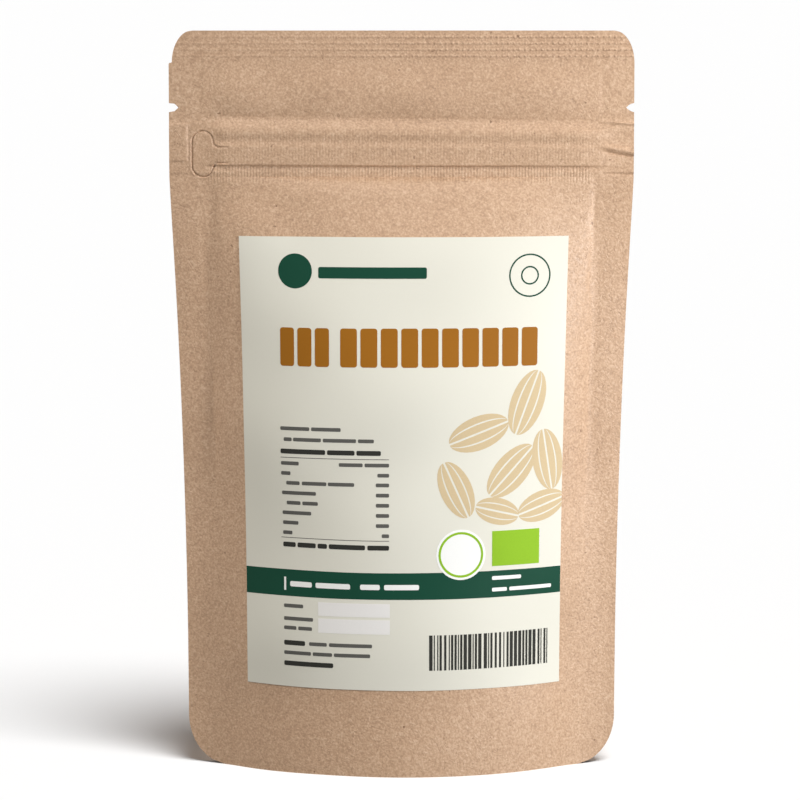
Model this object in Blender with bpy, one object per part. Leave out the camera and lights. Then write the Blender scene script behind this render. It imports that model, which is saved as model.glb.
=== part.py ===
"""A filled stand-up pouch of kraft paper laminate, with pecan halves inside.

Front panel, back panel and a folded bottom gusset are sealed along the sides.
A press-to-close zipper sits under a band near the top, and a tear strip with a
die-cut pull tab runs across the front over it. A paper label covers the front.
Metres, +Z up, front facing -Y, origin in the middle of the base.
"""

import math
import random

import bmesh
import bpy

MM = 0.001

# Driving dimensions of the pouch
FLAT_WIDTH = 120 * MM
HEIGHT = 191.6 * MM
SIDE_SEAL = 8.5 * MM
GUSSET_LEG = 30 * MM
FLAT_SHARE = 0.3
FILM = 0.25 * MM
GUSSET_FILM = 0.2 * MM
LAYER_GAP = 0.3 * MM

# Bulge: the panel between the seals is an arc of fixed length
BASE_ARC_ANGLE = 0.76
BULGE_TOP = 154 * MM
BULGE_FALL = 2.2
BULGE_ROUND = 0.55
HEADER_ARC_ANGLE = 0.012

# Outline
HALF_WIDTH = FLAT_WIDTH / 2
HALF_FILM = HALF_WIDTH - SIDE_SEAL
BASE_CORNER = 12 * MM
TOP_CORNER_WIDTH = 5.2 * MM
TOP_CORNER_HEIGHT = 8 * MM
NOTCH_HEIGHT = 172.5 * MM
NOTCH_DEPTH = 2.4 * MM
NOTCH_HALF = 1.1 * MM
OUTLINE_HINGE = 43 * MM

# Zipper band and its tear strip
BAND_LOW = 154 * MM
BAND_HIGH = 169 * MM
BAND_LIFT = 1.55 * MM
BAND_STEP = 1.5 * MM
BAND_END = 49.8 * MM
STRIP_LOW = 157.5 * MM
STRIP_HIGH = 161.7 * MM
STRIP_END = 50 * MM
TAB_LEFT = -54.1 * MM
TAB_RIGHT = -48.6 * MM
TAB_LOW = 154.6 * MM
TAB_HIGH = 165.4 * MM
CUT_LINE = 0.3 * MM
TAB_ARC_STEPS = 6

# Zipper profile
TRACK_LENGTH = 96 * MM
FLANGE_LOW = 157.4 * MM
FLANGE_HIGH = 165.4 * MM
FLANGE = 0.25 * MM
FLANGE_DEPTH = 1.15 * MM
RIB_HEIGHT = 162.4 * MM

# Label, measured along the film
LABEL_LEFT = -42.4 * MM
LABEL_RIGHT = 43.6 * MM
LABEL_LOW = 22.7 * MM
LABEL_HIGH = 138.9 * MM
LABEL_PAPER = 0.15 * MM
LABEL_GAP = 0.2 * MM

# Kernels
KERNEL_LENGTH = 32 * MM
KERNEL_WIDTH = 17.5 * MM
KERNEL_THICKNESS = 9.4 * MM
KERNEL_RINGS = 7
KERNEL_SIDES = 8
KERNEL_PITCH_X = 18.3 * MM
KERNEL_PITCH_Z = 32.3 * MM
KERNEL_ROW_Y = (9.0 * MM, 8.6 * MM, 7.9 * MM, 7.8 * MM)
KERNEL_CLEARANCE = 1.5 * MM
KERNEL_TILT = math.radians(1.6)
KERNEL_SEED = 12

# Grid lines of the panels: distances along the film, and heights
HALF_COLUMNS = [s * MM for s in (4, 12, 20, 28, 36, 43, 48, 51.5, 60)]
ROWS = [
    z * MM
    for z in (0, 1.2, 3.6, 7.5, 12, 20, 30, 42, 55, 70, 85, 100, 112, 123, 133, 142, 149)
] + [
    BAND_LOW - BAND_STEP / 2,
    BAND_LOW + BAND_STEP / 2,
    (BAND_LOW + BAND_HIGH) / 2,
    BAND_HIGH - BAND_STEP / 2,
    BAND_HIGH + BAND_STEP / 2,
    NOTCH_HEIGHT - NOTCH_HALF,
    NOTCH_HEIGHT,
    NOTCH_HEIGHT + NOTCH_HALF,
    178 * MM,
] + [HEIGHT - TOP_CORNER_HEIGHT * k for k in (1, 0.7, 0.4, 0.15, 0)]


def clear_scene():
    for obj in list(bpy.data.objects):
        bpy.data.objects.remove(obj, do_unlink=True)


def make_material(name, color, roughness):
    material = bpy.data.materials.new(name)
    material.use_nodes = True
    shader = material.node_tree.nodes["Principled BSDF"]
    shader.inputs["Base Color"].default_value = (*color, 1)
    shader.inputs["Roughness"].default_value = roughness
    return material


def smoothstep(value, low, high):
    t = min(max((value - low) / (high - low), 0.0), 1.0)
    return t * t * (3 - 2 * t)


def arc_angle(z):
    """Half the angle that the panel's arc spans at a height."""
    t = min(z / BULGE_TOP, 1.0)
    return max(BASE_ARC_ANGLE * (1 - t**BULGE_FALL) ** BULGE_ROUND, HEADER_ARC_ANGLE)


def fin_depth(z):
    """How far a sealed panel's outer face stands off the middle plane."""
    above = FILM + LAYER_GAP / 2
    beside_gusset = above + GUSSET_FILM + LAYER_GAP
    return beside_gusset + (above - beside_gusset) * smoothstep(z, GUSSET_LEG, GUSSET_LEG + 12 * MM)


def band_lift(s, z):
    rise = smoothstep(z, BAND_LOW - BAND_STEP, BAND_LOW + BAND_STEP)
    fall = smoothstep(z, BAND_HIGH - BAND_STEP, BAND_HIGH + BAND_STEP)
    side = smoothstep(abs(s), BAND_END, HALF_FILM + BAND_STEP)
    return BAND_LIFT * (rise - fall) * (1 - side)


def film_point(s, z):
    """Where the point at distance s along the film stands: its x, and its depth from the middle plane."""
    angle = arc_angle(z)
    radius = HALF_FILM / angle
    across = min(abs(s), HALF_FILM)
    x = radius * math.sin(across / radius) + max(abs(s) - HALF_FILM, 0)
    bulge = radius * (math.cos(across / radius) - math.cos(angle))
    return math.copysign(x, s), fin_depth(z) + bulge + band_lift(s, z)


def outline_half_width(z):
    """Half the film's width at a height, with rounded corners and tear notches."""
    half = HALF_WIDTH
    if z < BASE_CORNER:
        half -= BASE_CORNER - math.sqrt(BASE_CORNER**2 - (BASE_CORNER - z) ** 2)
    corner_start = HEIGHT - TOP_CORNER_HEIGHT
    if z > corner_start:
        share = min((z - corner_start) / TOP_CORNER_HEIGHT, 1.0)
        half -= TOP_CORNER_WIDTH * (1 - math.sqrt(1 - share**2))
    half -= NOTCH_DEPTH * max(1 - abs(z - NOTCH_HEIGHT) / NOTCH_HALF, 0.0)
    return half


def fitted(s, z):
    """A grid distance s moved in to the outline at that height."""
    if abs(s) <= OUTLINE_HINGE:
        return s
    share = (abs(s) - OUTLINE_HINGE) / (HALF_WIDTH - OUTLINE_HINGE)
    return math.copysign(OUTLINE_HINGE + share * (outline_half_width(z) - OUTLINE_HINGE), s)


def columns():
    return [-s for s in reversed(HALF_COLUMNS)] + list(HALF_COLUMNS)


def add_object(name, mesh, material, smooth=True):
    obj = bpy.data.objects.new(name, mesh)
    bpy.context.scene.collection.objects.link(obj)
    if material:
        mesh.materials.append(material)
    if smooth:
        mesh.shade_smooth()
        mesh.set_sharp_from_angle(angle=math.radians(40))
    return obj


def grid_mesh(name, lines):
    """A mesh of quads through lines of points, all of one length. Its front faces left of their order."""
    verts = [point for line in lines for point in line]
    width = len(lines[0])
    faces = [
        (r * width + c, r * width + c + 1, (r + 1) * width + c + 1, (r + 1) * width + c)
        for r in range(len(lines) - 1)
        for c in range(width - 1)
    ]
    mesh = bpy.data.meshes.new(name)
    mesh.from_pydata(verts, [], faces)
    mesh.update()
    return mesh


def thicken(obj, thickness, outward):
    """Turns a sheet into a solid, growing to the side its faces point to, or away from it."""
    solidify = obj.modifiers.new("Film thickness", "SOLIDIFY")
    solidify.thickness = thickness
    solidify.offset = 1 if outward else -1
    solidify.use_even_offset = True
    solidify.use_quality_normals = True


def panel_mesh(name, side):
    """One big panel as a sheet: side -1 is the front, +1 the back."""
    ordered = columns() if side < 0 else columns()[::-1]
    lines = []
    for z in ROWS:
        points = [film_point(fitted(s, z), z) for s in ordered]
        lines.append([(x, side * depth, z) for x, depth in points])
    return grid_mesh(name, lines)


def strip_prism(name, grow):
    """The tear strip's outline, tab included, as a block that runs through the front panel."""
    tab_centre = (TAB_LEFT + TAB_RIGHT) / 2
    radius = (TAB_RIGHT - TAB_LEFT) / 2 + grow
    low = TAB_LOW + radius - grow
    high = TAB_HIGH - radius + grow
    outline = [
        (TAB_RIGHT + grow, STRIP_LOW - grow),
        (STRIP_END + grow, STRIP_LOW - grow),
        (STRIP_END + grow, STRIP_HIGH + grow),
        (TAB_RIGHT + grow, STRIP_HIGH + grow),
    ]
    turns = [math.pi * k / TAB_ARC_STEPS for k in range(TAB_ARC_STEPS + 1)]
    outline += [(tab_centre + radius * math.cos(a), high + radius * math.sin(a)) for a in turns]
    outline += [(tab_centre - radius * math.cos(a), low - radius * math.sin(a)) for a in turns]
    bm = bmesh.new()
    face = bm.faces.new([bm.verts.new((x, -4 * MM, z)) for x, z in outline])
    sides = bmesh.ops.extrude_face_region(bm, geom=[face])
    moved = [v for v in sides["geom"] if isinstance(v, bmesh.types.BMVert)]
    bmesh.ops.translate(bm, verts=moved, vec=(0, 4 * MM, 0))
    bmesh.ops.recalc_face_normals(bm, faces=bm.faces)
    mesh = bpy.data.meshes.new(name)
    bm.to_mesh(mesh)
    bm.free()
    cutter = add_object(name, mesh, None, smooth=False)
    cutter.hide_render = True
    cutter.display_type = "WIRE"
    return cutter


def cut_with(obj, cutter, operation):
    boolean = obj.modifiers.new("Tear line", "BOOLEAN")
    boolean.operation = operation
    boolean.solver = "EXACT"
    boolean.object = cutter


def make_panels(kraft):
    front = add_object("front_panel", panel_mesh("front_panel", -1), kraft)
    thicken(front, FILM, outward=False)
    cut_with(front, strip_prism("cutter_strip_gap", CUT_LINE / 2), "DIFFERENCE")
    strip = add_object("tear_strip", panel_mesh("tear_strip", -1), kraft)
    thicken(strip, FILM, outward=False)
    cut_with(strip, strip_prism("cutter_strip", -CUT_LINE / 2), "INTERSECT")
    back = add_object("back_panel", panel_mesh("back_panel", 1), kraft)
    thicken(back, FILM, outward=False)


def gusset_heights(s):
    """Half depth of the opened gusset, its fold's height, and the height where it leaves the panels."""
    half = max(film_point(s, 8 * MM)[1] - FILM - LAYER_GAP - GUSSET_FILM, LAYER_GAP / 2)
    fold = GUSSET_LEG * smoothstep(abs(s), 22 * MM, HALF_FILM)
    fold = min(fold, GUSSET_LEG - 1.2 * half) if fold > 0 else 0.0
    fold = max(fold, 0.0)
    leave = (GUSSET_LEG**2 - half**2 - fold**2) / (2 * (GUSSET_LEG - fold))
    return half, fold, leave


def gusset_floor(s, y):
    """Height of the gusset's lower face inside the pouch: flat in its middle, rising to the panels."""
    half, fold, leave = gusset_heights(s)
    share = min(abs(y) / half, 1.0)
    lift = max((share - FLAT_SHARE) / (1 - FLAT_SHARE), 0.0) ** 1.5
    return fold + (leave - fold) * lift


def gusset_line(s):
    """The gusset's lower face across the pouch at one distance along the film, front rim to back rim."""
    leave = gusset_heights(s)[2]
    leg = []
    for z in [z for z in ROWS if z < 8 * MM] + [leave]:
        x, depth = film_point(fitted(s, z), z)
        leg.append((x, depth - FILM - LAYER_GAP - GUSSET_FILM, z))
    x, half, _ = leg[-1]
    floor = [(x, half * share, gusset_floor(s, half * share)) for share in (0.8, 0.55, FLAT_SHARE)]
    near = [(px, -py, pz) for px, py, pz in leg + floor]
    far = [(px, py, pz) for px, py, pz in reversed(leg + floor)]
    return near + far


def make_gusset(kraft):
    mesh = grid_mesh("bottom_gusset", [gusset_line(s) for s in columns()])
    gusset = add_object("bottom_gusset", mesh, kraft)
    thicken(gusset, GUSSET_FILM, outward=False)


def make_track(name, side, profile, material):
    """A zipper track: a profile of (depth, height) points, run along the band."""
    bm = bmesh.new()
    end = [bm.verts.new((-TRACK_LENGTH / 2, side * depth, z)) for depth, z in profile]
    face = bm.faces.new(end)
    run = bmesh.ops.extrude_face_region(bm, geom=[face])
    moved = [v for v in run["geom"] if isinstance(v, bmesh.types.BMVert)]
    bmesh.ops.translate(bm, verts=moved, vec=(TRACK_LENGTH, 0, 0))
    bmesh.ops.recalc_face_normals(bm, faces=bm.faces)
    mesh = bpy.data.meshes.new(name)
    bm.to_mesh(mesh)
    bm.free()
    return add_object(name, mesh, material, smooth=False)


def make_zipper(plastic):
    outer = FLANGE_DEPTH
    inner = outer - FLANGE
    stem = 0.22 * MM
    head = 0.5 * MM
    tip = -0.55 * MM
    neck = -0.1 * MM
    rib_track = [
        (outer, FLANGE_LOW),
        (outer, FLANGE_HIGH),
        (inner, FLANGE_HIGH),
        (inner, RIB_HEIGHT + stem),
        (neck, RIB_HEIGHT + stem),
        (neck, RIB_HEIGHT + head),
        (tip, RIB_HEIGHT),
        (neck, RIB_HEIGHT - head),
        (neck, RIB_HEIGHT - stem),
        (inner, RIB_HEIGHT - stem),
        (inner, FLANGE_LOW),
    ]
    lip = 0.45 * MM
    jaw_inside = 0.8 * MM
    jaw_outside = 1.2 * MM
    mouth = -0.45 * MM
    lip_back = mouth + 0.25 * MM
    jaw = [
        (inner, jaw_outside),
        (mouth, jaw_outside),
        (mouth, lip),
        (lip_back, lip),
        (lip_back, jaw_inside),
        (inner, jaw_inside),
    ]
    groove_track = [(outer, FLANGE_LOW), (outer, FLANGE_HIGH), (inner, FLANGE_HIGH)]
    groove_track += [(depth, RIB_HEIGHT + z) for depth, z in jaw]
    groove_track += [(depth, RIB_HEIGHT - z) for depth, z in reversed(jaw)]
    groove_track += [(inner, FLANGE_LOW)]
    make_track("zipper_front_track", -1, rib_track, plastic)
    make_track("zipper_back_track", 1, groove_track, plastic)


def make_label(paper):
    across = [s for s in columns() if LABEL_LEFT < s < LABEL_RIGHT - 1 * MM]
    across = [LABEL_LEFT] + across + [LABEL_RIGHT]
    up = [LABEL_LOW] + [z for z in ROWS if LABEL_LOW < z < LABEL_HIGH] + [LABEL_HIGH]
    lines = []
    for z in up:
        points = [film_point(s, z) for s in across]
        lines.append([(x, -(depth + LABEL_GAP), z) for x, depth in points])
    label = add_object("front_label", grid_mesh("front_label", lines), paper)
    thicken(label, LABEL_PAPER, outward=True)


def kernel_mesh(name):
    """A shelled pecan half, standing on end: rounded and grooved at its back, flatter at its split face."""
    bm = bmesh.new()
    rings = []
    for k in range(1, KERNEL_RINGS):
        along = math.pi * k / KERNEL_RINGS
        z = -math.cos(along) * KERNEL_LENGTH / 2
        size = math.sin(along) ** 0.8
        ring = []
        for side in range(KERNEL_SIDES):
            turn = 2 * math.pi * (side + 0.5) / KERNEL_SIDES
            x = math.cos(turn) * size * KERNEL_WIDTH / 2
            y = math.sin(turn) * size * KERNEL_THICKNESS / 2
            if math.sin(turn) < 0:
                y *= 0.7
            ring.append(bm.verts.new((x, y, z)))
        rings.append(ring)
    for low, high in zip(rings, rings[1:]):
        for k in range(KERNEL_SIDES):
            after = (k + 1) % KERNEL_SIDES
            bm.faces.new((low[k], low[after], high[after], high[k]))
    for ring, z in ((rings[0], -1), (rings[-1], 1)):
        tip = bm.verts.new((0, 0, z * KERNEL_LENGTH / 2))
        for k in range(KERNEL_SIDES):
            bm.faces.new((ring[k], ring[(k + 1) % KERNEL_SIDES], tip))
    bmesh.ops.recalc_face_normals(bm, faces=bm.faces)
    mesh = bpy.data.meshes.new(name)
    bm.to_mesh(mesh)
    bm.free()
    return mesh


def kernel_columns():
    """The columns that kernels stack in: steps across, row, and how many tiers each holds."""
    columns_held = [(k, row, 3) for row in (-1, 1) for k in (-1, 0, 1)]
    return columns_held + [(k, 0, 3) for k in (-2, -1, 0, 1, 2)]


def film_distance(x):
    """The distance along the film, low on the pouch, of a point at x."""
    radius = HALF_FILM / arc_angle(0)
    return radius * math.asin(min(abs(x) / radius, math.sin(arc_angle(0))))


def resting_height(mesh, x, y):
    """How high a kernel's middle stands when it rests on the gusset."""
    film = GUSSET_FILM + KERNEL_CLEARANCE
    return max(
        gusset_floor(film_distance(x + v.co.x), y + v.co.y) + film - v.co.z
        for v in mesh.vertices
    )


def kernel_places(mesh):
    places = []
    for step, row, tiers in kernel_columns():
        x = step * KERNEL_PITCH_X
        base = resting_height(mesh, x, row * KERNEL_ROW_Y[0])
        for tier in range(tiers):
            places.append((x, row * KERNEL_ROW_Y[tier], base + tier * KERNEL_PITCH_Z))
    top = max(z for _, _, z in places if z < 100 * MM) + KERNEL_PITCH_Z
    for step in (-1, 0, 1):
        for row in (-0.5, 0.5):
            places.append((step * KERNEL_PITCH_X, row * KERNEL_ROW_Y[3], top))
    return sorted(places, key=lambda place: round(place[2] / KERNEL_PITCH_Z))


def make_kernels(kernel):
    rng = random.Random(KERNEL_SEED)
    mesh = kernel_mesh("pecan_half")
    mesh.materials.append(kernel)
    for number, place in enumerate(kernel_places(mesh), start=1):
        half = add_object(f"pecan_half_{number:02d}", mesh, None)
        half.location = place
        facing = 0 if place[1] >= 0 else math.pi
        half.rotation_euler = (
            rng.uniform(-KERNEL_TILT, KERNEL_TILT),
            rng.uniform(-KERNEL_TILT, KERNEL_TILT),
            facing + rng.uniform(-KERNEL_TILT, KERNEL_TILT),
        )


def main():
    clear_scene()
    kraft = make_material("kraft_laminate", (0.55, 0.36, 0.22), 0.75)
    paper = make_material("label_paper", (0.83, 0.80, 0.70), 0.55)
    plastic = make_material("zipper_plastic", (0.85, 0.85, 0.83), 0.4)
    kernel = make_material("pecan_kernel", (0.33, 0.15, 0.06), 0.6)
    make_panels(kraft)
    make_gusset(kraft)
    make_zipper(plastic)
    make_label(paper)
    make_kernels(kernel)


main()
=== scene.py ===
"""Looks of the filled kraft stand-up pouch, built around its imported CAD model.

Film positions are written as (s, z): s runs along the film from its middle, z is the height.
"""

import math

import bmesh
import bpy
import numpy as np
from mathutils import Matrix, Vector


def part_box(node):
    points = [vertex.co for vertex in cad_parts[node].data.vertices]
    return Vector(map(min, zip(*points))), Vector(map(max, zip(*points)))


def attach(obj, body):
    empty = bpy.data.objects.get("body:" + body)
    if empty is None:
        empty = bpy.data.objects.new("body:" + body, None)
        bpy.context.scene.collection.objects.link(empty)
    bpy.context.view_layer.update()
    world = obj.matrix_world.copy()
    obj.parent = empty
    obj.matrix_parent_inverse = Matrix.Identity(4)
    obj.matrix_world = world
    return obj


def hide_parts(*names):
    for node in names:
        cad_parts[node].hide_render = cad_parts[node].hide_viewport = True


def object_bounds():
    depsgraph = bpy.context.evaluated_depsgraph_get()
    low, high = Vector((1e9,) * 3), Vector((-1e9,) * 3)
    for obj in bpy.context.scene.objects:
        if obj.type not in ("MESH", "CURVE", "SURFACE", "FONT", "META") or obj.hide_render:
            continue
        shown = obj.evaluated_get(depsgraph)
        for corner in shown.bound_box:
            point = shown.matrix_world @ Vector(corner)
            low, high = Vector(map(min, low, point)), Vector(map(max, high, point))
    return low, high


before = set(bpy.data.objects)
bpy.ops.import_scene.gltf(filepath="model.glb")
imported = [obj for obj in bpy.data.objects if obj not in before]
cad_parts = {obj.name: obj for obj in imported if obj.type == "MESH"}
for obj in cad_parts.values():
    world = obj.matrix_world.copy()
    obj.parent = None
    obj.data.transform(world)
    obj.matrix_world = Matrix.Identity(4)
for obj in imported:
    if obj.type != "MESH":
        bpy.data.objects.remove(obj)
cad_low, cad_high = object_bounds()

MM = 0.001
BODY = "root"
FRONT, BACK = -1, 1

# Places read from the frame
HALF_WIDTH = cad_high.x
HEIGHT = cad_high.z
LABEL_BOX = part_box("front_label")

# Film and seals
FILM = 0.26 * MM
GUSSET_FILM = 0.2 * MM
SEAM_GAP = 0.02 * MM
SIDE_SEAL = 8.5 * MM
HALF_FILM = HALF_WIDTH - SIDE_SEAL
GUSSET_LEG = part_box("bottom_gusset")[1].z
TOP_SEAL = 8 * MM

# Bulge, as in the CAD model; the sides pull in a little less low down
BASE_ARC_ANGLE = 0.76
SIDE_ARC_ANGLE = 0.705
BULGE_TOP = 154 * MM
BULGE_FALL = 2.2
BULGE_ROUND = 0.55
HEADER_ARC_ANGLE = 0.012

# Side seams
SEAM_CRISP = 1.2 * MM
SEAM_SOFT = 7.5 * MM
SHOULDER_RISE = 0.8 * MM
SHOULDER_REACH = 4 * MM
LEAN_SLOPE = 0.2
LEAN_SOFT = 2 * MM
FUSED_REACH = 2 * MM

# Outline
BASE_CORNER_WIDTH = 10 * MM
BASE_CORNER_HEIGHT = 12.5 * MM
TOP_CORNER_WIDTH = 5.2 * MM
TOP_CORNER_HEIGHT = 8.4 * MM
LEDGE_WIDTH = 0.8 * MM
LEDGE_HEIGHT = 183.2 * MM
NOTCH_HEIGHT = 171.85 * MM
NOTCH_HALF = 1.12 * MM
NOTCH_STRAIGHT = 1.3 * MM
NOTCH_LEFT = 2.45 * MM
NOTCH_RIGHT = 2.05 * MM
OUTLINE_HINGE = 43 * MM

# Zipper band: (height, how far the film stands out) in mm, from the band's low edge to its high edge
BAND_PROFILE = (
    (147.5, 0.0), (151.5, 0.35), (154.6, 0.9), (155.7, 1.0), (156.9, 0.5), (157.1, 0.5), (157.45, 1.2),
    (159.5, 1.3), (161.8, 1.42), (162.2, 1.38), (163.2, 1.12), (163.8, 1.14), (165.2, 1.5), (165.9, 1.48),
    (166.7, 1.3), (168.8, 0.1), (169.4, 0.0),
)
BAND_END = 45 * MM
BAND_OUT_LEFT = 52.3 * MM
BAND_OUT_RIGHT = 57 * MM
BAND_DROP = 0.45 * MM
BAND_TILT = 0.0027
BAND_TAPER = 0.75
FLAT_BAND_LOW = 155.2 * MM
FLAT_BAND_HIGH = 168 * MM
FLAT_BAND_LIFT = 0.16 * MM
BACK_BAND_SHARE = 0.8

# Header pocket over the band
POCKET_LOW = 169.5 * MM
POCKET_HEIGHT = 0.8 * MM
POCKET_CURVE = 3 * MM

# Rows pressed into the top seal, measured down from the top edge
CRIMP_PITCH = 1.63 * MM
CRIMP_FIRST = 1.6 * MM
CRIMP_START = 1.0 * MM
CRIMP_END = 7.2 * MM
CRIMP_HEIGHT = 0.17 * MM

# Soft waves of the filled film
WAVE_HEIGHT = 0.34 * MM
FRONT_SEED, BACK_SEED = 11, 23

# Pull tab of the tear strip, and its neck
TAB_S = -51.35 * MM
TAB_HALF = 2.75 * MM
TAB_LOW = 154.0 * MM
TAB_HIGH = 165.8 * MM
NECK_Z = 159.63 * MM
NECK_HALF = 2.06 * MM
NECK_END = -44.7 * MM
TAB_FILLET = 1.5 * MM
TAB_CUT, TAB_CUT_WIDTH = 0.26 * MM, 0.17 * MM
TAB_LIP, TAB_LIP_WIDTH, TAB_LIP_OFF = 0.1 * MM, 0.22 * MM, 0.4 * MM
TAB_RISE = 0.14 * MM


def smooth(value, low, high):
    """0 below low, 1 above high, easing in between."""
    t = np.clip((value - low) / (high - low), 0, 1)
    return t * t * (3 - 2 * t)


def window(value, low, high, soft):
    """1 between low and high, fading to 0 over the soft distance at both ends."""
    rise = smooth(value, low - soft / 2, low + soft / 2)
    return rise * (1 - smooth(value, high - soft / 2, high + soft / 2))


def ripples(s, z, seed, count, longest, shortest):
    """A soft random relief of about unit height, from a fixed set of waves."""
    rng = np.random.default_rng(seed)
    total = np.zeros_like(s + z)
    for _ in range(count):
        length = longest * (shortest / longest) ** rng.random()
        heading = rng.random() * math.pi
        phase = rng.random() * 2 * math.pi
        total = total + np.sin(
            (s * math.cos(heading) + z * math.sin(heading)) * 2 * math.pi / length + phase
        )
    return total / math.sqrt(count)


def crease(s, z, start, end, width, height):
    """A straight ridge, or a valley where height is below 0, that fades out at both ends. All in mm."""
    s, z = s / MM, z / MM
    ds, dz = end[0] - start[0], end[1] - start[1]
    length = math.hypot(ds, dz)
    along = ((s - start[0]) * ds + (z - start[1]) * dz) / length
    across = ((s - start[0]) * dz - (z - start[1]) * ds) / length
    fade = smooth(along, 0, length * 0.3) * (1 - smooth(along, length * 0.7, length))
    return height * MM * fade * np.exp(-((across / width) ** 2))


def arc_angle(z, base):
    t = np.clip(z / BULGE_TOP, 0, 1)
    return np.maximum(base * (1 - t**BULGE_FALL) ** BULGE_ROUND, HEADER_ARC_ANGLE)


def arc(s, angle, rounding=0.1 * MM):
    """Where a point of an arc of fixed length lies: x, and height over its chord. Rounding eases the seam."""
    radius = HALF_FILM / angle
    share = np.clip(0.5 + 0.5 * (HALF_FILM - np.abs(s)) / rounding, 0, 1)
    across = HALF_FILM * (1 - share) + np.abs(s) * share - rounding * share * (1 - share)
    x = radius * np.sin(np.minimum(np.abs(s), HALF_FILM) / radius) + np.maximum(np.abs(s) - HALF_FILM, 0)
    return np.copysign(x, s), radius * (np.cos(across / radius) - np.cos(angle))


def seam_rounding(z):
    """The side seams' bend is crisp high up and soft low down, where the pouch is fullest."""
    return SEAM_CRISP + (SEAM_SOFT - SEAM_CRISP) * (1 - smooth(z, 45 * MM, 95 * MM))


def seal_lean(s, z):
    """How far the side seals lean back from the middle plane, beside the filled part of the pouch."""
    off = np.abs(s) - HALF_FILM
    ramp = (off + np.sqrt(off**2 + LEAN_SOFT**2)) / 2
    return LEAN_SLOPE * ramp * smooth(BULGE_TOP - z, 0, 40 * MM)


def seam_room(z):
    """Low down, the gusset's two layers hold the panels a little apart in the side seals."""
    return (GUSSET_FILM + 2 * SEAM_GAP) * (1 - smooth(z, GUSSET_LEG - 2 * MM, GUSSET_LEG + 14 * MM))


def on_band(s, z):
    """Heights on a straight band. The real one sits lower towards the right, its top edge most of all."""
    return z + BAND_DROP + s * (BAND_TILT + BAND_TAPER * (z - 157 * MM))


def band_relief(s, z):
    """The film over the zipper, and the zipper's ends pressed flat in the side seals."""
    out = np.where(s > 0, BAND_OUT_RIGHT, BAND_OUT_LEFT)
    z = on_band(s, z)
    heights = np.array([height for height, _ in BAND_PROFILE]) * MM
    lifts = np.array([lift for _, lift in BAND_PROFILE]) * MM
    lift = np.interp(z, heights, lifts, left=0, right=0)
    lift = lift * (1 - smooth(np.abs(s), BAND_END, out))
    flat = window(z, FLAT_BAND_LOW, FLAT_BAND_HIGH, 1.0 * MM)
    flat = flat * smooth(np.abs(s), BAND_END + 3 * MM, HALF_FILM)
    return lift + FLAT_BAND_LIFT * flat


def header_relief(s, z):
    """The unsealed film over the zipper: a shallow pocket that dips into a valley along the zipper band."""
    inside = 1 - smooth(np.abs(s), HALF_FILM - 0.7 * MM, HALF_FILM + 0.4 * MM)
    pocket = 1 - np.exp(-np.maximum(on_band(s, z) - POCKET_LOW, 0) / POCKET_CURVE)
    pocket = pocket * smooth(HEIGHT - z, TOP_SEAL - 1 * MM, TOP_SEAL + 9 * MM)
    soft = 0.3 * MM * ripples(s, z, 5, 9, 46 * MM, 14 * MM) * smooth(HALF_FILM - np.abs(s), 0, 8 * MM)
    edge = smooth(HALF_FILM - np.abs(s), -0.4 * MM, 9 * MM)
    return inside * pocket * (0.22 * MM + POCKET_HEIGHT * edge + soft)


def crimp_relief(s, z):
    """Rows pressed into the top seal, stronger towards the right."""
    depth = HEIGHT - z
    rows = np.cos((depth - CRIMP_FIRST) * 2 * math.pi / CRIMP_PITCH)
    rows = np.maximum(rows, 0) ** 2 * window(depth, CRIMP_START, CRIMP_END, 0.5 * MM)
    return CRIMP_HEIGHT * rows * (0.4 + 0.6 * smooth(s, -40 * MM, 10 * MM))


def tab_distance(s, z):
    """Distance to the outline of the pull tab and its neck, below 0 inside it."""
    low, high = TAB_LOW + TAB_HALF, TAB_HIGH - TAB_HALF
    tab = np.hypot(s - TAB_S, z - np.clip(z, low, high)) - TAB_HALF
    neck = np.maximum(np.abs(z - NECK_Z) - NECK_HALF, TAB_S - s)
    blend = np.clip(0.5 + 0.5 * (neck - tab) / TAB_FILLET, 0, 1)
    return neck * (1 - blend) + tab * blend - TAB_FILLET * blend * (1 - blend)


def tab_relief(s, z):
    """The die-cut line round the tab, its raised lip, and the tab's own slight rise."""
    off = tab_distance(s, z)
    shown = 1 - smooth(s, NECK_END - 0.4 * MM, NECK_END + 0.3 * MM)
    cut = -TAB_CUT * np.exp(-((off / TAB_CUT_WIDTH) ** 2))
    lip = TAB_LIP * np.exp(-(((off - TAB_LIP_OFF) / TAB_LIP_WIDTH) ** 2))
    inside = TAB_RISE * (1 - smooth(off, -0.5 * MM, 0)) * (1 - smooth(s, TAB_S + TAB_HALF, NECK_END))
    return shown * (cut + lip + inside)


PATCH_RISE = 0.25 * MM

# Creases of the front film: start, end, half width and height, in mm
FRONT_CREASES = (
    ((49.8, 168.4), (68.0, 167.0), 0.4, 0.45),
    ((49.5, 162.3), (69.0, 158.6), 0.8, 0.75),
    ((49.8, 160.9), (69.0, 157.5), 0.3, -0.4),
    ((49.6, 154.9), (69.0, 154.4), 0.3, -0.3),
    ((51.0, 129.6), (68.0, 129.4), 0.5, 0.12),
    ((-44.0, 155.0), (-22.0, 138.0), 5.5, -0.5),
    ((-49.5, 156.0), (-50.0, 120.0), 1.6, -0.35),
    ((50.2, 158.0), (50.2, 118.0), 0.8, -0.25),
    ((-30.0, 151.5), (26.0, 151.0), 2.6, 0.25),
    ((10.0, 149.0), (46.0, 143.0), 5.0, 0.3),
)


def front_creases(s, z):
    total = sum(crease(s, z, *line) for line in FRONT_CREASES)
    patch = window(z, 158 * MM, 167.6 * MM, 0.6 * MM) * smooth(-s, 55.0 * MM, 55.6 * MM)
    return total + PATCH_RISE * patch


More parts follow.
